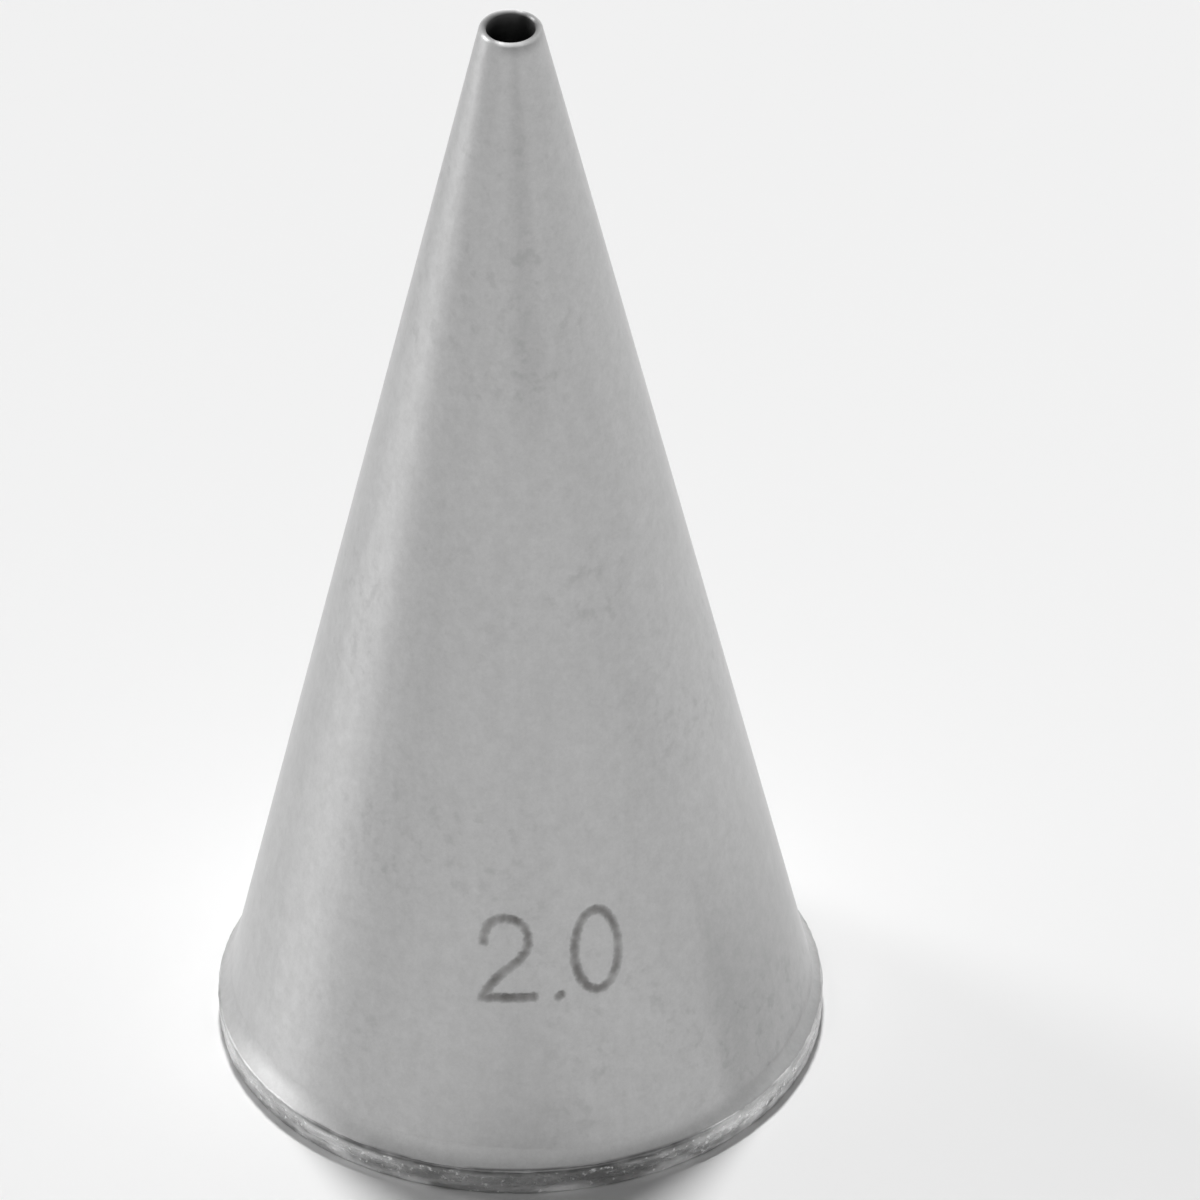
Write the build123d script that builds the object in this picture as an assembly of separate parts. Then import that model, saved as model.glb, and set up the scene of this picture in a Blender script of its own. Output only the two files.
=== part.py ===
from build123d import *
import math
import os

# Plain round piping nozzle in stainless steel: a seamless cone with a 2 mm bore at
# its tip, and a strip ring welded round the mouth. Millimetres, +Z up. The origin
# is the centre of the mouth, on the plane that the nozzle stands on.

# The whole nozzle
height = 50.0
rim_diameter = 25.0
bore_diameter = 2.0

# Cone: one drawn cup of sheet, open at both ends, with an upright foot at the mouth
wall = 0.5
lip_width = 0.275
lip_round_share = 0.4
bore_land = 1.0
bend_radius = 1.5
mouth_round = 0.1

# Ring: a flat strip, standing proud round the foot
ring_height = 1.25
ring_thickness = 0.38
ring_round = 0.18

# Weld: the fillet along the ring's upper edge, dressed flat
weld_height = 0.6

# Places that several pieces share
rim_radius = rim_diameter / 2
foot_radius = rim_radius - ring_thickness
bore_radius = bore_diameter / 2
tip_radius = bore_radius + lip_width
half_angle = math.atan((foot_radius - tip_radius) / (height - ring_height))


def cone_radius(z):
    """Outside radius of the cone at height z above its foot."""
    return foot_radius - (z - ring_height) * math.tan(half_angle)


def round_corner(face, corner, radius):
    """The face with its vertex nearest to corner rounded."""
    nearest = min(face.vertices(), key=lambda v: (Vector(v) - Vector(*corner)).length)
    return fillet(nearest, radius)


def turned(face):
    """A solid of revolution about Z, from a section drawn as radius and height."""
    return revolve(Plane.XZ * face, Axis.Z)


def cone_shell():
    """The drawn cone: foot, tapered wall, rounded lip and short straight bore."""
    mouth_radius = foot_radius - wall
    inner_bend = ring_height - wall * math.tan(half_angle / 2)
    lip_round = lip_width * lip_round_share
    section = make_face(
        Polyline(
            (mouth_radius, 0),
            (foot_radius, 0),
            (foot_radius, ring_height),
            (tip_radius, height),
            (bore_radius, height),
            (bore_radius, height - bore_land),
            (mouth_radius, inner_bend),
            close=True,
        )
    )
    section = round_corner(section, (tip_radius, height), lip_round)
    section = round_corner(section, (bore_radius, height), lip_round)
    section = round_corner(section, (bore_radius, height - bore_land), bend_radius)
    section = round_corner(section, (mouth_radius, inner_bend), bend_radius)
    section = round_corner(section, (mouth_radius, 0), mouth_round)
    return turned(section)


def rim_ring():
    """The strip ring: flat inside where it grips the foot, broken edges outside."""
    section = make_face(
        Polyline(
            (foot_radius, 0),
            (rim_radius, 0),
            (rim_radius, ring_height),
            (foot_radius, ring_height),
            close=True,
        )
    )
    section = round_corner(section, (rim_radius, 0), ring_round)
    section = round_corner(section, (rim_radius, ring_height), ring_round)
    return turned(section)


def weld_fillet():
    """The weld: lies on the ring's top and against the cone, and slopes from one to the other."""
    weld_top = ring_height + weld_height
    heel = (foot_radius, ring_height)
    toe = (rim_radius - ring_round, ring_height)
    crown = (cone_radius(weld_top), weld_top)
    return turned(make_face(Polyline(heel, toe, crown, close=True)))


os.makedirs("parts", exist_ok=True)
nodes = {
    "cone_shell": cone_shell(),
    "rim_ring": rim_ring(),
    "weld_fillet": weld_fillet(),
}
for node, shape in nodes.items():
    export_step(shape, f"parts/{node}.step")
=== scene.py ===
import math

import bmesh
import bpy
from mathutils import Matrix, Vector, noise
from mathutils.kdtree import KDTree


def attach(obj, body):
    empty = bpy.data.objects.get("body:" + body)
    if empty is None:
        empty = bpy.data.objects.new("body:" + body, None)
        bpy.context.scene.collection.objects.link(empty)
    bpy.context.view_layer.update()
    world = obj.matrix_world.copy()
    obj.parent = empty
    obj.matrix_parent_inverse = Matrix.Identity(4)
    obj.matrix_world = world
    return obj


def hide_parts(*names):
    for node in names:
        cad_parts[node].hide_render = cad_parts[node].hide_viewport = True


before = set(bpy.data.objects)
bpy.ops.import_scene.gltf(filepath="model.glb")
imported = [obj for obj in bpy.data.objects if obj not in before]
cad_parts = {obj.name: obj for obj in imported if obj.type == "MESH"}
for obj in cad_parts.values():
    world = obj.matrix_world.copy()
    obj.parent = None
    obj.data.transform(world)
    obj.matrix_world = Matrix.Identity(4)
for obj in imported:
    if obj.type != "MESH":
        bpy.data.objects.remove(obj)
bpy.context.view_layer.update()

# Camera: a long lens a metre away, in front of the nozzle and 37 degrees above the
# table. It is turned by half a degree, and it aims a little to the nozzle's right.
view_target = Vector((0.003401, 0.0, 0.021062))
view_distance = 0.99706
view_elevation = math.radians(37.355)
view_roll = math.radians(-0.445)
focal_length = 733.2
sensor_width = 36
view_end = 20
level_right = Vector((1, 0, 0))
level_up = Vector((0, math.sin(view_elevation), math.cos(view_elevation)))
toward_camera = Vector((0, -math.cos(view_elevation), math.sin(view_elevation)))
picture_right = level_right * math.cos(view_roll) + level_up * math.sin(view_roll)
picture_up = level_up * math.cos(view_roll) - level_right * math.sin(view_roll)
lens = bpy.data.cameras.new("camera")
lens.sensor_width = sensor_width
lens.lens = focal_length
lens.clip_end = view_end
camera = bpy.data.objects.new("camera", lens)
camera.matrix_world = (
    Matrix.Translation(view_target + toward_camera * view_distance)
    @ Matrix((picture_right, picture_up, toward_camera)).transposed().to_4x4()
)
bpy.context.scene.collection.objects.link(camera)
bpy.context.scene.camera = camera
bpy.context.scene.view_settings.view_transform = "Standard"

# Cone: one seamless cup of stainless sheet, drawn to a slim cone, pierced at its tip
# and tumbled to a fine satin. Its lip is rounded and a little scuffed, and the bore's
# size in millimetres is stamped low on its front, one digit at a time.
mm = 0.001
foot_radius = 12.12 * mm
mouth_radius = 11.62 * mm
foot_height = 1.25 * mm
inner_foot_height = 1.195 * mm
tip_height = 50 * mm
tip_radius = 1.275 * mm
bore_radius = 1 * mm
land_height = 49 * mm
lip_round = 0.135 * mm
mouth_round = 0.1 * mm
sharp_angle = math.radians(40)
cone_sectors = 24
cone_steps = 15
cone_fall = (foot_radius - tip_radius) / (tip_height - foot_height)
cone_slant = math.atan(cone_fall)

# The area that the stamped mark takes up, and the mark's own sizes
mark_low = 7.8 * mm
mark_high = 13.2 * mm
mark_left = math.radians(-13)
mark_right = math.radians(30)
mark_margin = 0.1
mark_cuts = 4
mark_base = 8.65 * mm
mark_depth = 0.085 * mm
mark_reach = 0.24 * mm
mark_burr = 0.009 * mm
digit_width = 2.05 * mm
digit_height = 3.6 * mm
outer_share = 0.98


def cone_radius(height):
    """Outside radius of the cone at a height above its foot."""
    return foot_radius - (height - foot_height) * cone_fall


def profile(corners, cuts=()):
    """A closed wire in the XZ plane through corners given as radius and height.

    The cuts say into how many more points each line is cut, from the first corner on.
    """
    bm = bmesh.new()
    points = [bm.verts.new((radius, 0, height)) for radius, height in corners]
    lines = [bm.edges.new(pair) for pair in zip(points, points[1:] + points[:1])]
    for line, count in zip(lines, cuts):
        if count:
            bmesh.ops.subdivide_edges(bm, edges=[line], cuts=count)
    return bm


def round_point(bm, radius, height, tangent, segments=6):
    """Rounds the wire's corner there, over a length tangent on each of its two lines."""
    place = Vector((radius, 0, height))
    bmesh.ops.bevel(
        bm,
        geom=[min(bm.verts, key=lambda point: (point.co - place).length)],
        offset=tangent,
        offset_type="OFFSET",
        segments=segments,
        profile=0.5,
        affect="VERTICES",
        material=-1,
    )


def turn(bm, sectors, steps):
    """Spins the wire through one sector, copies it round the axis and joins the copies."""
    circle = {"cent": (0, 0, 0), "axis": (0, 0, 1)}
    sector = math.tau / sectors
    bmesh.ops.spin(bm, geom=bm.verts[:] + bm.edges[:], angle=sector, steps=steps, **circle)
    bmesh.ops.spin(
        bm,
        geom=bm.verts[:] + bm.edges[:] + bm.faces[:],
        angle=math.tau - sector,
        steps=sectors - 1,
        use_duplicate=True,
        **circle,
    )
    bmesh.ops.remove_doubles(bm, verts=bm.verts[:], dist=0.001 * mm)
    bmesh.ops.recalc_face_normals(bm, faces=bm.faces[:])


def finished(bm, name, material, node):
    """The mesh as a smooth piece that rides on the nozzle's body and stands for its solid."""
    mesh = bpy.data.meshes.new(name)
    for face in bm.faces:
        face.smooth = True
    for edge in bm.edges:
        edge.smooth = edge.calc_face_angle(0.0) < sharp_angle
    bm.to_mesh(mesh)
    bm.free()
    piece = bpy.data.objects.new(name, mesh)
    bpy.context.scene.collection.objects.link(piece)
    mesh.materials.append(material)
    even = piece.modifiers.new("even_normals", "WEIGHTED_NORMAL")
    even.mode = "FACE_AREA"
    even.weight = 50
    even.keep_sharp = True
    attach(piece, "root")
    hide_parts(node)


def angle_of(point):
    """Where a point lies round the axis: 0 in front, and positive to the right."""
    return math.atan2(point.x, -point.y)


def outward(point):
    """The level direction from the axis to a point."""
    return Vector((point.x, point.y, 0)).normalized()


def is_outside(point):
    """Whether a point of the cone lies on its outer wall, not on its inner one."""
    return point.xy.length > cone_radius(point.z) * outer_share


def waves(point, *layers):
    """A sum of smooth noises at a point, each given as its height and its frequency."""
    return sum(height * noise.noise(point * frequency) for height, frequency in layers)


cone = profile(
    [
        (mouth_radius, 0),
        (foot_radius, 0),
        (foot_radius, foot_height),
        (cone_radius(mark_low), mark_low),
        (cone_radius(mark_high), mark_high),
        (tip_radius, tip_height),
        (bore_radius, tip_height),
        (bore_radius, land_height),
        (mouth_radius, inner_foot_height),
    ],
    cuts=(1, 2, 9, 26, 45, 0, 1, 30, 2),
)
round_point(cone, mouth_radius, 0, mouth_round)
round_point(cone, tip_radius, tip_height, lip_round)
round_point(cone, bore_radius, tip_height, lip_round)
turn(cone, cone_sectors, cone_steps)


def takes_mark(face):
    """Whether a face of the cone lies where the mark is stamped."""
    middle = face.calc_center_median()
    beside = mark_left < angle_of(middle) < mark_right
    return beside and mark_low < middle.z < mark_high and is_outside(middle)


marked = [face for face in cone.faces if takes_mark(face)]
bmesh.ops.subdivide_edges(
    cone,
    edges=list({edge for face in marked for edge in face.edges}),
    cuts=mark_cuts,
    use_grid_fill=True,
)

# The stamped digits, as centre lines on the unrolled cone: across the slope and along
# it, in shares of a digit's width and height. Each has its start round the axis, its
# lift up the slope and its tilt, because no two are struck quite alike.
nought_points = 24
two_line = [(0.04, 0.70), (0.06, 0.80), (0.13, 0.90), (0.27, 0.975), (0.48, 1.0), (0.70, 0.97)]
two_line += [(0.86, 0.90), (0.94, 0.79), (0.94, 0.66), (0.86, 0.55), (0.68, 0.44), (0.45, 0.33)]
two_line += [(0.24, 0.21), (0.09, 0.08), (0.02, 0.0), (0.35, 0.0), (0.68, 0.0), (1.0, 0.0)]
nought_line = [
    (
        0.5 + 0.46 * math.sin(math.tau * point / nought_points),
        0.5 + 0.5 * math.cos(math.tau * point / nought_points),
    )
    for point in range(nought_points + 1)
]
dot_line = [(0.48, 0.0), (0.52, 0.02)]
digits = [
    (two_line, math.radians(-8.5), 0.0, math.radians(1.5)),
    (dot_line, math.radians(3.2), -0.02 * mm, 0.0),
    (nought_line, math.radians(12.0), 0.12 * mm, math.radians(-2.5)),
]
stroke_step = 0.03 * mm
stroke_depth = 0.78
stroke_uneven = 0.42
stroke_end_depth = 0.9
depth_layers = ((1.0, 900), (0.5, 3000))
ragged_layers = ((0.05 * mm, 5000), (0.03 * mm, 12000))
across_radius = cone_radius((mark_low + mark_high) / 2)


def stamped_points():
    """Points close together along every stroke, on the unrolled cone, with their depth shares."""
    found = []
    for line, start, lift, tilt in digits:
        placed = []
        for across, along in line:
            x, y = across * digit_width, along * digit_height
            turned_x = x * math.cos(tilt) - y * math.sin(tilt)
            turned_y = x * math.sin(tilt) + y * math.cos(tilt)
            flat_x = start * across_radius + turned_x
            placed.append(Vector((flat_x, mark_base + lift + turned_y, 0)))
        for begin, end in zip(placed, placed[1:]):
            count = max(1, int((end - begin).length / stroke_step))
            for step in range(count):
                point = begin.lerp(end, step / count)
                found.append((point, stroke_depth + stroke_uneven * waves(point, *depth_layers)))
        found.append((placed[-1], stroke_end_depth))
    return found


strokes = stamped_points()
nearest = KDTree(len(strokes))
for index, (point, share) in enumerate(strokes):
    nearest.insert(point, index)
nearest.balance()
groove = cone.verts.layers.float.new("groove")
for vertex in cone.verts:
    place, angle = vertex.co.copy(), angle_of(vertex.co)
    if not mark_low - mm < place.z < mark_high + mm:
        continue
    if not mark_left - mark_margin < angle < mark_right + mark_margin or not is_outside(place):
        continue
    along = mark_base + (place.z - mark_base) / math.cos(cone_slant)
    flat = Vector((angle * across_radius, along, 0))
    index, distance = nearest.find(flat)[1:]
    ragged = (distance + waves(flat, *ragged_layers)) / mark_reach
    share = strokes[index][1]
    sunk = 0.0
    if ragged < 1:
        sunk = share * mark_depth * (1 - ragged**2) ** 1.5
        vertex[groove] = max(0.0, min(1.0, share * (1 - ragged**2)))
    elif ragged < 2:
        sunk = -share * mark_burr * math.sin(math.pi * (ragged - 1)) ** 2
    radius = cone_radius(place.z) - sunk * math.cos(cone_slant)
    level = place.z - sunk * math.sin(cone_slant)
    vertex.co = Vector((radius * math.sin(angle), -radius * math.cos(angle), level))


def grey(value):
    """An opaque grey."""
    return (value, value, value, 1)


def add(tree, kind, inputs, **settings):
    """A new node with its settings, and with its inputs set to values or linked to sockets."""
    node = tree.nodes.new(kind)
    for name, value in settings.items():
        setattr(node, name, value)
    for name, value in inputs.items():
        socket = node.inputs[name]
        if isinstance(value, bpy.types.NodeSocket):
            tree.links.new(value, socket)
        else:
            socket.default_value = value
    return node


def calc(tree, operation, *values):
    """What an operation makes of its values."""
    return add(tree, "ShaderNodeMath", dict(enumerate(values)), operation=operation).outputs[0]


def ranged(tree, value, low, high, at_low=0.0, at_high=1.0, kind="LINEAR"):
    """A value brought from the range low to high into another, and held at its ends."""
    inputs = {
        "Value": value,
        "From Min": low,
        "From Max": high,
        "To Min": at_low,
        "To Max": at_high,
    }
    return add(tree, "ShaderNodeMapRange", inputs, interpolation_type=kind).outputs[0]


def eased(tree, value, low, high, at_low=0.0, at_high=1.0):
    """The same with a smooth step in place of a straight one."""
    return ranged(tree, value, low, high, at_low, at_high, "SMOOTHSTEP")


def clouds(tree, vector, scale, detail, roughness=0.5):
    """A cloudy value around a half."""
    inputs = {"Vector": vector, "Scale": scale, "Detail": detail, "Roughness": roughness}
    return add(tree, "ShaderNodeTexNoise", inputs).outputs["Fac"]


def stretched(tree, vector, scale):
    """Coordinates scaled along each axis, for marks that are longer one way than another."""
    return add(tree, "ShaderNodeMapping", {"Vector": vector, "Scale": scale}).outputs[0]


def scaled(tree, color, share):
    """A colour times a share."""
    inputs = {0: color, "Scale": share}
    return add(tree, "ShaderNodeVectorMath", inputs, operation="SCALE").outputs[0]


def mixed(tree, share, first, second):
    """A colour that goes from the first to the second as the share goes from 0 to 1."""
    inputs = {0: share, 6: first, 7: second}
    return add(tree, "ShaderNodeMix", inputs, data_type="RGBA").outputs[2]


def parted(tree, vector):
    """A point's coordinates X, Y and Z, each as a value."""
    return add(tree, "ShaderNodeSeparateXYZ", {0: vector}).outputs


def round_angle(tree, place):
    """The angle of a parted point round the axis: 0 in front, and positive to the right."""
    front = calc(tree, "MULTIPLY", place["Y"], -1.0)
    return calc(tree, "ARCTAN2", place["X"], front)


def steel(name, base_grey, roughness):
    """A metal with its plain values on the shader's own sockets, and its Object coordinates."""
    material = bpy.data.materials.new(name)
    material.use_nodes = True
    tree = material.node_tree
    shader = tree.nodes["Principled BSDF"]
    shader.inputs["Metallic"].default_value = 1
    shader.inputs["Base Color"].default_value = grey(base_grey)
    shader.inputs["Roughness"].default_value = roughness
    coordinates = add(tree, "ShaderNodeTexCoord", {}).outputs["Object"]
    return material, tree, shader, coordinates


def polish_lines(tree, shader, coordinates):
    """Polishing marks too fine to see run round the axis.

    They smear what is mirrored up and down the slope.
    """
    shader.inputs["Anisotropic"].default_value = 0.8
    shader.inputs["Anisotropic Rotation"].default_value = 0.25
    inputs = {0: (0, 0, 1), 1: coordinates}
    round_axis = add(tree, "ShaderNodeVectorMath", inputs, operation="CROSS_PRODUCT")
    tree.links.new(round_axis.outputs[0], shader.inputs["Tangent"])


def coat(tree, shader, color, roughness, normal):
    """Puts the last colour, roughness and normal on the shader."""
    tree.links.new(color, shader.inputs["Base Color"])
    tree.links.new(roughness, shader.inputs["Roughness"])
    tree.links.new(normal, shader.inputs["Normal"])


# What tumbling leaves on every piece: clouds in its shade and roughness, and a fine
# grain that stands out a little. A piece gives its own tint, scale and strengths.
fine_detail = 2.0
fine_roughness = 0.6
cloud_scale = 1600.0
cloud_detail = 5.0
cloud_roughness = 0.9
grain = bpy.data.node_groups.new("tumbled_grain", "ShaderNodeTree")
for socket_name, kind, value in (
    ("Vector", "NodeSocketVector", None),
    ("Tint", "NodeSocketColor", grey(0.5)),
    ("Grain", "NodeSocketFloat", 8000),
    ("Shade", "NodeSocketFloat", 0.1),
    ("Roughness", "NodeSocketFloat", 0.3),
    ("Spread", "NodeSocketFloat", 0.1),
    ("Relief", "NodeSocketFloat", 0.3),
    ("Depth", "NodeSocketFloat", 0.01 * mm),
):
    socket = grain.interface.new_socket(socket_name, in_out="INPUT", socket_type=kind)
    if value is not None:
        socket.default_value = value
for socket_name, kind in (
    ("Color", "NodeSocketColor"),
    ("Roughness", "NodeSocketFloat"),
    ("Normal", "NodeSocketVector"),
):
    grain.interface.new_socket(socket_name, in_out="OUTPUT", socket_type=kind)
given = grain.nodes.new("NodeGroupInput").outputs
result = grain.nodes.new("NodeGroupOutput").inputs
fine = clouds(grain, given["Vector"], given["Grain"], fine_detail, fine_roughness)
cloudy = clouds(grain, given["Vector"], cloud_scale, cloud_detail, cloud_roughness)
centred = calc(grain, "SUBTRACT", cloudy, 0.5)
shading = calc(grain, "MULTIPLY_ADD", centred, given["Shade"], 1.0)
rougher = calc(grain, "MULTIPLY_ADD", centred, given["Spread"], given["Roughness"])
standing = {"Strength": given["Relief"], "Distance": given["Depth"], "Height": fine}
bumped = add(grain, "ShaderNodeBump", standing).outputs[0]
grain.links.new(scaled(grain, given["Tint"], shading), result["Color"])
grain.links.new(rougher, result["Roughness"])
grain.links.new(bumped, result["Normal"])


def grained(tree, **values):
    """The colour, roughness and normal of the tumbled grain with a piece's own values."""
    return add(tree, "ShaderNodeGroup", values, node_tree=grain).outputs


# The cone's marks, as shares by which they darken it: the drawing streaks that run
# up it, small flecks in clusters, a soft darker patch high in front, and painted shade
# low at the right, where the nozzle's shadow on the floor is mirrored, that goes on over the weld.
satin_grey = 0.52
satin_roughness = 0.4
satin_shade = 0.5
satin_spread = 0.15
soiled_groove = (0.17, 0.166, 0.162, 1)
# Painted shade inside the bore and over the lip's inner edge
bore_shade_grey = 0.12
streak_stretch = (1, 1, 0.07)
streak_scale = 900.0
streak_range, streak_shades = (0.3, 0.7), (0.975, 1.025)
fleck_scale, fleck_range = 1700.0, (0.55, 0.68)
cluster_scale, cluster_range = 130.0, (0.5, 0.62)
fleck_strength = 0.09
# A soft darker patch high in front: its angle round the axis, its width, strength and heights
dark_patch_angle = math.radians(6.5)
dark_patch_width = math.radians(14)
dark_patch_strength = 0.1
dark_patch_low, dark_patch_high = 31 * mm, 37 * mm
# Painted shade low at the right, where the nozzle's own shadow on the floor is mirrored
painted_shade_strength = 0.16
painted_shade_start, painted_shade_whole = math.radians(42), math.radians(48)
painted_shade_fade, painted_shade_end = math.radians(75), math.radians(110)
painted_shade_low, painted_shade_high = 5 * mm, 15 * mm
inner_skin, outer_skin = 0.34 * mm, 0.06 * mm
dark_low, dark_high = 18 * mm, 44 * mm
lip_low, lip_high = 49.4 * mm, 49.9 * mm
lip_clean_angle = math.radians(-45)
lip_clean_range = (0.8, 1.0)
lip_scuff = 0.28


def painted_shade_share(tree, around):
    """How dark the painted shade low at the right is at an angle round the axis."""
    near = eased(tree, around, painted_shade_start, painted_shade_whole, 0.0, painted_shade_strength)
    far = eased(tree, around, painted_shade_fade, painted_shade_end, 1.0, 0.0)
    return calc(tree, "MULTIPLY", near, far)


satin, tree, shader, coordinates = steel("satin_steel", satin_grey, satin_roughness)
place = parted(tree, coordinates)
height = place["Z"]
around = round_angle(tree, place)

long_way = stretched(tree, coordinates, streak_stretch)
streaks_and_shade = clouds(tree, long_way, streak_scale, 3.0, 0.7)
streaks_and_shade = ranged(tree, streaks_and_shade, *streak_range, *streak_shades)
flecks = ranged(tree, clouds(tree, coordinates, fleck_scale, 3.0), *fleck_range)
clusters = clouds(tree, coordinates, cluster_scale, 1.0)
clusters = ranged(tree, clusters, *cluster_range, 0.0, fleck_strength)
flecks = calc(tree, "MULTIPLY", flecks, clusters)
aside = calc(tree, "ABSOLUTE", calc(tree, "SUBTRACT", around, dark_patch_angle))
dark_patch = eased(tree, aside, 0.0, dark_patch_width, dark_patch_strength, 0.0)
high_up = ranged(tree, height, dark_patch_low, dark_patch_high)
dark_patch = calc(tree, "MULTIPLY", dark_patch, high_up)
# The painted shade low at the right fades out upward
painted_shade_top = eased(tree, height, painted_shade_low, painted_shade_high, 1.0, 0.0)
painted_shade = calc(tree, "MULTIPLY", painted_shade_share(tree, around), painted_shade_top)
marks_and_painted_shade = calc(tree, "ADD", calc(tree, "ADD", dark_patch, flecks), painted_shade)
streaks_and_shade = calc(tree, "SUBTRACT", streaks_and_shade, marks_and_painted_shade)

# The stamped strokes hold residue. The inside is painted darker, most of all high up: painted
# shade in the bore, which reaches over the lip's inner edge and dims the glint there.
stamped = add(tree, "ShaderNodeAttribute", {}, attribute_name="groove").outputs["Fac"]
soiled = mixed(tree, stamped, grey(satin_grey), soiled_groove)
level_place = add(tree, "ShaderNodeCombineXYZ", {"X": place["X"], "Y": place["Y"]}).outputs[0]
from_axis = add(tree, "ShaderNodeVectorMath", {0: level_place}, operation="LENGTH")
upright = calc(tree, "MULTIPLY_ADD", height, cone_fall, from_axis.outputs["Value"])
skin = foot_radius + foot_height * cone_fall
bore_shade = ranged(tree, upright, skin - inner_skin, skin - outer_skin, 1.0, 0.0)
bore_shade = calc(tree, "MULTIPLY", bore_shade, ranged(tree, height, dark_low, dark_high))
tint = mixed(tree, bore_shade, scaled(tree, soiled, streaks_and_shade), grey(bore_shade_grey))

# The lip is scuffed, apart from two places opposite each other that stay brighter.
lip = ranged(tree, height, lip_low, lip_high)
turned = calc(tree, "COSINE", calc(tree, "SUBTRACT", around, lip_clean_angle))
scuffed = eased(tree, calc(tree, "ABSOLUTE", turned), *lip_clean_range, lip_scuff, 0.0)
tumbled = grained(
    tree,
    Vector=coordinates,
    Tint=tint,
    Shade=satin_shade,
    Roughness=satin_roughness,
    Spread=satin_spread,
)
duller = calc(tree, "MULTIPLY_ADD", scuffed, lip, tumbled["Roughness"])
coat(tree, shader, tumbled["Color"], duller, tumbled["Normal"])
polish_lines(tree, shader, coordinates)
finished(cone, "cone", satin, "cone_shell")

# Ring: a flat strip of the same steel, bent round the cone's foot and standing proud
# of it. Its edges are broken and its face is buffed, with small dents and rub marks.
rim_radius = 12.5 * mm
ring_height = 1.25 * mm
ring_round = 0.16 * mm
ring_foot_round = 0.08 * mm
ring_lean = 0.07 * mm
seam_round = 0.03 * mm
ring_sectors = 36
ring_steps = 20
dent_depth = 0.035 * mm
dent_mean, dent_swing = 0.5, 0.6
dent_layers = ((1.0, 1100), (1.0, 2600))
seat_depth = 0.05 * mm
foot_face_radius = rim_radius - ring_lean
ring = profile(
    [
        (foot_radius, 0),
        (foot_face_radius, 0),
        (rim_radius, ring_height),
        (foot_radius, ring_height),
    ],
    cuts=(1, 8, 1, 0),
)
round_point(ring, foot_radius, 0, seam_round)
round_point(ring, foot_face_radius, 0, ring_foot_round)
round_point(ring, rim_radius, ring_height, ring_round)
turn(ring, ring_sectors, ring_steps)
for vertex in ring.verts:
    if vertex.co.xy.length > foot_radius + seat_depth:
        dent_share = dent_mean + dent_swing * waves(vertex.co, *dent_layers)
        vertex.co -= outward(vertex.co) * dent_depth * max(0.0, min(1.0, dent_share))

# Over a stretch of its front, painted shade lies in patches along the ring's upper edge.
buffed_grey = 0.56
buffed_roughness = 0.3
# The grey of the painted shade along the upper edge in front
edge_shade_grey = 0.16
nick_and_light_grey = 0.86
nicked_roughness = 0.5
rub_stretch = (0.4, 0.4, 1)
stretch_middle = math.radians(-6)
stretch_whole, stretch_end = math.radians(36), math.radians(48)
stretch_rest = 0.12
patch_scale, patch_range, patch_rest = 500.0, (0.3, 0.6), 0.3
edge_shade_low, edge_shade_high = 0.92 * mm, 1.12 * mm
mottle_scale, mottle_range, mottle_shades = 900.0, (0.36, 0.64), (0.76, 1.2)
nick_scale, nick_range = 4500.0, (0.61, 0.7)
nick_low, nick_high = 1.0 * mm, 1.1 * mm
foot_patch_scale, foot_patch_range, foot_patch_rest = 1500.0, (0.44, 0.58), 0.1
# Painted light along the foot, in patches, where the mirrored contact shadow darkens it
foot_light_low, foot_light_high = 0.3 * mm, 0.6 * mm
foot_light_strength = 0.65
face_middle = 0.65 * mm
dull_near, dull_far = 0.15 * mm, 0.42 * mm
dull_roughness = 0.22


def front_shade_stretch(tree, around):
    """1 over the stretch of the front that takes painted shade, and little beyond it."""
    sideways = calc(tree, "ABSOLUTE", calc(tree, "SUBTRACT", around, stretch_middle))
    return eased(tree, sideways, stretch_whole, stretch_end, 1.0, stretch_rest)


buffed, tree, shader, coordinates = steel("buffed_steel", buffed_grey, buffed_roughness)
rubbed = stretched(tree, coordinates, rub_stretch)
place = parted(tree, coordinates)
height = place["Z"]
shade_stretch = front_shade_stretch(tree, round_angle(tree, place))
# Painted shade in patches along the upper edge, over the front stretch
patchy = clouds(tree, coordinates, patch_scale, 4.0)
patchy = ranged(tree, patchy, *patch_range, patch_rest, 1.0)
edge_shade = calc(tree, "MULTIPLY", ranged(tree, height, edge_shade_low, edge_shade_high), patchy)
edge_shade = calc(tree, "MULTIPLY", edge_shade, shade_stretch)
shaded_tint = mixed(tree, edge_shade, grey(buffed_grey), grey(edge_shade_grey))
mottle = clouds(tree, rubbed, mottle_scale, 3.0)
mottle = ranged(tree, mottle, *mottle_range, *mottle_shades)
tumbled = grained(
    tree,
    Vector=rubbed,
    Tint=scaled(tree, shaded_tint, mottle),
    Grain=4200.0,
    Shade=1.3,
    Roughness=0.24,
    Spread=0.7,
    Relief=1.0,
    Depth=0.03 * mm,
)

# Nicks below the upper edge, and patches of painted light along the foot
nicks_and_foot_light = ranged(tree, clouds(tree, coordinates, nick_scale, 2.0), *nick_range)
off_edge = ranged(tree, height, nick_low, nick_high, 1.0, 0.0)
nicks_and_foot_light = calc(tree, "MULTIPLY", nicks_and_foot_light, off_edge)
painted_foot_light = ranged(tree, height, foot_light_low, foot_light_high, foot_light_strength, 0.0)
foot_light_patches = clouds(tree, rubbed, foot_patch_scale, 4.0)
foot_light_patches = ranged(tree, foot_light_patches, *foot_patch_range, foot_patch_rest, 1.0)
painted_foot_light = calc(tree, "MULTIPLY", painted_foot_light, foot_light_patches)
nicks_and_foot_light = calc(tree, "MAXIMUM", nicks_and_foot_light, painted_foot_light)
nicked_and_lit = mixed(tree, nicks_and_foot_light, tumbled["Color"], grey(nick_and_light_grey))
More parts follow.
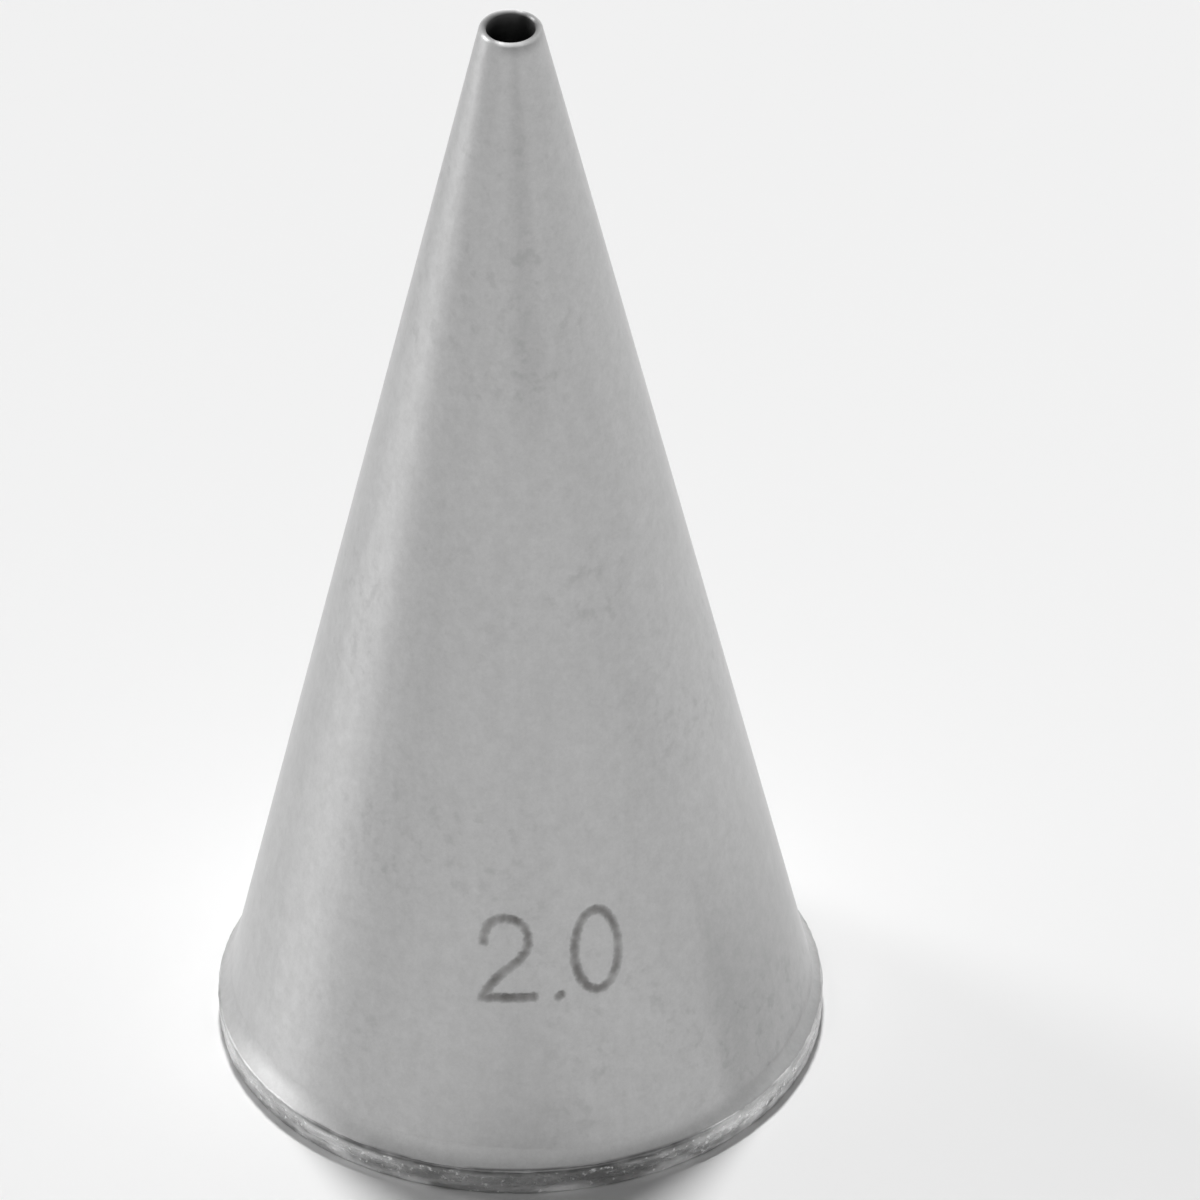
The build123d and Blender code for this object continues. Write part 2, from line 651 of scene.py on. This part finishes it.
rough = {0: nicks_and_foot_light, 2: tumbled["Roughness"], 3: nicked_roughness}
rough = add(tree, "ShaderNodeMix", rough, data_type="FLOAT").outputs[0]
off_middle = calc(tree, "ABSOLUTE", calc(tree, "SUBTRACT", height, face_middle))
duller = ranged(tree, off_middle, dull_near, dull_far, 0.0, dull_roughness)
rough = calc(tree, "ADD", rough, duller)
coat(tree, shader, nicked_and_lit, rough, tumbled["Normal"])
finished(ring, "ring", buffed, "rim_ring")

# Weld: a thin bead of the same steel along the ring's upper edge, dressed to a small
# hollow that leaves the cone smoothly and runs out over the ring's rounded edge.
weld_height = 0.75 * mm
weld_swing = 0.2 * mm
weld_wander = (0.6, 2.5)
weld_wave = 0.008 * mm
weld_bumps = (0.5, 700)
weld_root = 0.05 * mm
weld_edge = 0.003 * mm
weld_rows = 14
lap_rows = 4
lap_angle = math.radians(32)
weld_top = ring_height + weld_height
lap = [
    Vector((
        rim_radius - ring_round + ring_round * math.sin(lap_angle * row / lap_rows),
        ring_height - ring_round + ring_round * math.cos(lap_angle * row / lap_rows),
    ))
    for row in range(lap_rows + 1)
]
weld_toe = lap[-1]
weld_crown = Vector((cone_radius(weld_top), weld_top))
toe_fall = math.tan(lap_angle)
bend_height = (weld_toe.x + weld_toe.y / toe_fall - cone_radius(0)) / (1 / toe_fall - cone_fall)
weld_bend = Vector((cone_radius(bend_height), bend_height))
hollow = [
    weld_toe * (1 - share) ** 2 + weld_bend * 2 * share * (1 - share) + weld_crown * share**2
    for share in (row / weld_rows for row in range(1, weld_rows + 1))
]
weld_heel = (foot_radius - weld_root, ring_height)
weld = profile([weld_heel] + [tuple(point) for point in lap + hollow])
turn(weld, ring_sectors, ring_steps)
for vertex in weld.verts:
    share = (vertex.co.z - weld_toe.y) / (weld_top - weld_toe.y)
    if share > 0:
        level = outward(vertex.co)
        uneven = -math.sin(angle_of(vertex.co)) + waves(level, weld_wander)
        rise = share * weld_swing * uneven
        bulge = math.sin(math.pi * share) * (0.5 + waves(vertex.co, weld_bumps))
        out = weld_edge * share + weld_wave * bulge
        vertex.co += level * (out - share * rise * cone_fall)
        vertex.co.z += rise

# It was dressed with emery along its toe and tumbled above. Painted shade lies in patches
# along its toe over the front, and the cone's painted shade low at the right goes on over it.
toe_roughness = 0.62
# Painted shade along the toe
toe_low, toe_high = 1.24 * mm, 1.29 * mm
toe_shade_strength = 0.75
toe_shade_grey = 0.12
toe_patch_scale, toe_patch_range = 260.0, (0.45, 0.58)
emery_low, emery_high = 1.25 * mm, 1.9 * mm
dressed, tree, shader, coordinates = steel("dressed_weld", satin_grey, satin_roughness)
place = parted(tree, coordinates)
height = place["Z"]
around = round_angle(tree, place)
shade_stretch = front_shade_stretch(tree, around)
patchy = ranged(tree, clouds(tree, coordinates, toe_patch_scale, 3.0), *toe_patch_range)
toe_shade = ranged(tree, height, toe_low, toe_high, toe_shade_strength, 0.0)
toe_shade = calc(tree, "MULTIPLY", calc(tree, "MULTIPLY", toe_shade, patchy), shade_stretch)
shaded_tint = mixed(tree, toe_shade, grey(satin_grey), grey(toe_shade_grey))
# The painted shade low at the right goes on over the weld
unshaded = calc(tree, "SUBTRACT", 1.0, painted_shade_share(tree, around))
emeried = ranged(tree, height, emery_low, emery_high, toe_roughness, satin_roughness)
tumbled = grained(
    tree,
    Vector=coordinates,
    Tint=scaled(tree, shaded_tint, unshaded),
    Shade=satin_shade,
    Roughness=emeried,
    Spread=satin_spread,
)
coat(tree, shader, tumbled["Color"], tumbled["Roughness"], tumbled["Normal"])
polish_lines(tree, shader, coordinates)
finished(weld, "weld", dressed, "weld_fillet")

# Floor: a plain pale sheet, far larger than the nozzle, that keeps its shadow.
floor_half = 8.0
floor_grey = 0.875
floor_mesh = bmesh.new()
bmesh.ops.create_grid(floor_mesh, x_segments=1, y_segments=1, size=floor_half)
sheet = bpy.data.meshes.new("floor")
floor_mesh.to_mesh(sheet)
floor_mesh.free()
floor = bpy.data.objects.new("floor", sheet)
bpy.context.scene.collection.objects.link(floor)
pale = bpy.data.materials.new("pale_floor")
pale.use_nodes = True
shader = pale.node_tree.nodes["Principled BSDF"]
shader.inputs["Base Color"].default_value = grey(floor_grey)
shader.inputs["Roughness"].default_value = 1
shader.inputs["Specular IOR Level"].default_value = 0
sheet.materials.append(pale)

# Light: a lamp high behind the nozzle, a weaker one low at its left in a tall softbox,
# a faint wide one at its right, and a room that is pale round the table and dim overhead.
# Its angles are in degrees: up from the table, and round the nozzle from the front.

# A lamp has its elevation, its angle round the nozzle, its width and its power.
lamps = [
    ("key", 69, -179, 8, 2.58),
    ("side", 36, -115, 14, 0.5),
    ("fill", 32, 112, 24, 0.14),
]

# A wall has four angles round the nozzle, from where it starts to fade in to where it is
# gone, two elevations between which it fades out, and its brightness. The softbox has
# four angles and four elevations.
front_span, front_top, room_front = (-75, -25, 25, 75), (42, 62), 0.38
right_span, right_top, room_right = (25, 75, 110, 150), (8, 30), 0.5
back_top, room_back = (8, 30), 0.9
left_span, left_top, room_left = (-150, -110, -75, -25), (30, 60), 0.1
box_span, box_heights, box_power = (-116, -108, -90, -82), (2, 7, 42, 52), 1.95
room_above = 0.4
floor_shine = 0.876
room_glow = 0.2


def way_to(elevation, azimuth):
    """The direction at an elevation and an azimuth, which is 0 in front, positive to the right."""
    level = math.cos(elevation)
    return Vector((
        math.sin(azimuth) * level,
        -math.cos(azimuth) * level,
        math.sin(elevation),
    ))


for lamp_name, elevation, azimuth, width, power in lamps:
    sun = bpy.data.lights.new(lamp_name, "SUN")
    sun.energy = power
    sun.angle = math.radians(width)
    lamp = bpy.data.objects.new(lamp_name, sun)
    toward_lamp = way_to(math.radians(elevation), math.radians(azimuth))
    lamp.rotation_mode = "QUATERNION"
    lamp.rotation_quaternion = toward_lamp.to_track_quat("Z", "Y")
    bpy.context.scene.collection.objects.link(lamp)

world = bpy.data.worlds.new("studio")
bpy.context.scene.world = world
world.use_nodes = True
tree = world.node_tree
way = parted(tree, add(tree, "ShaderNodeTexCoord", {}).outputs["Generated"])
around = round_angle(tree, way)
rise = calc(tree, "ARCSINE", way["Z"])


def ramp(value, low, high, at_low, at_high):
    """A smooth step from one value to another between two angles in degrees."""
    return eased(tree, value, math.radians(low), math.radians(high), at_low, at_high)


def times(first, second):
    """The product of two values."""
    return calc(tree, "MULTIPLY", first, second)


def plus(first, second):
    """The sum of two values."""
    return calc(tree, "ADD", first, second)


def band(value, start, whole, fade, end):
    """1 between two angles, with a smooth step up before them and one down after them."""
    return times(ramp(value, start, whole, 0.0, 1.0), ramp(value, fade, end, 1.0, 0.0))


def wall(across, top, brightness):
    """A wall over a share of the way round, which fades out between two elevations."""
    return times(across, times(ramp(rise, *top, 1.0, 0.0), brightness))


# The back wall takes up what the walls at the right and the left leave.
past_right = ramp(around, *right_span[2:], 0.0, 1.0)
past_left = ramp(around, *left_span[:2], 1.0, 0.0)
walls = wall(band(around, *front_span), front_top, room_front)
walls = plus(walls, wall(band(around, *right_span), right_top, room_right))
walls = plus(walls, wall(plus(past_right, past_left), back_top, room_back))
walls = plus(walls, wall(band(around, *left_span), left_top, room_left))
softbox = times(band(around, *box_span), band(rise, *box_heights))
room = plus(plus(walls, room_above), times(softbox, box_power))

# The camera, metal and glass see the room in full, and dull surfaces get less of it, so
# that the lamps' shadows stay. Below the horizon the world is as bright as the floor.
path = add(tree, "ShaderNodeLightPath", {}).outputs
mirrored = plus(path["Is Camera Ray"], plus(path["Is Glossy Ray"], path["Is Transmission Ray"]))
room = times(room, ranged(tree, mirrored, 0.0, 1.0, room_glow, 1.0))
below = ramp(rise, -1, 0, 1.0, 0.0)
light = add(tree, "ShaderNodeMix", {0: below, 2: room, 3: floor_shine}, data_type="FLOAT")
background = tree.nodes["Background"].inputs
tree.links.new(light.outputs[0], background["Strength"])
background["Color"].default_value = grey(1)
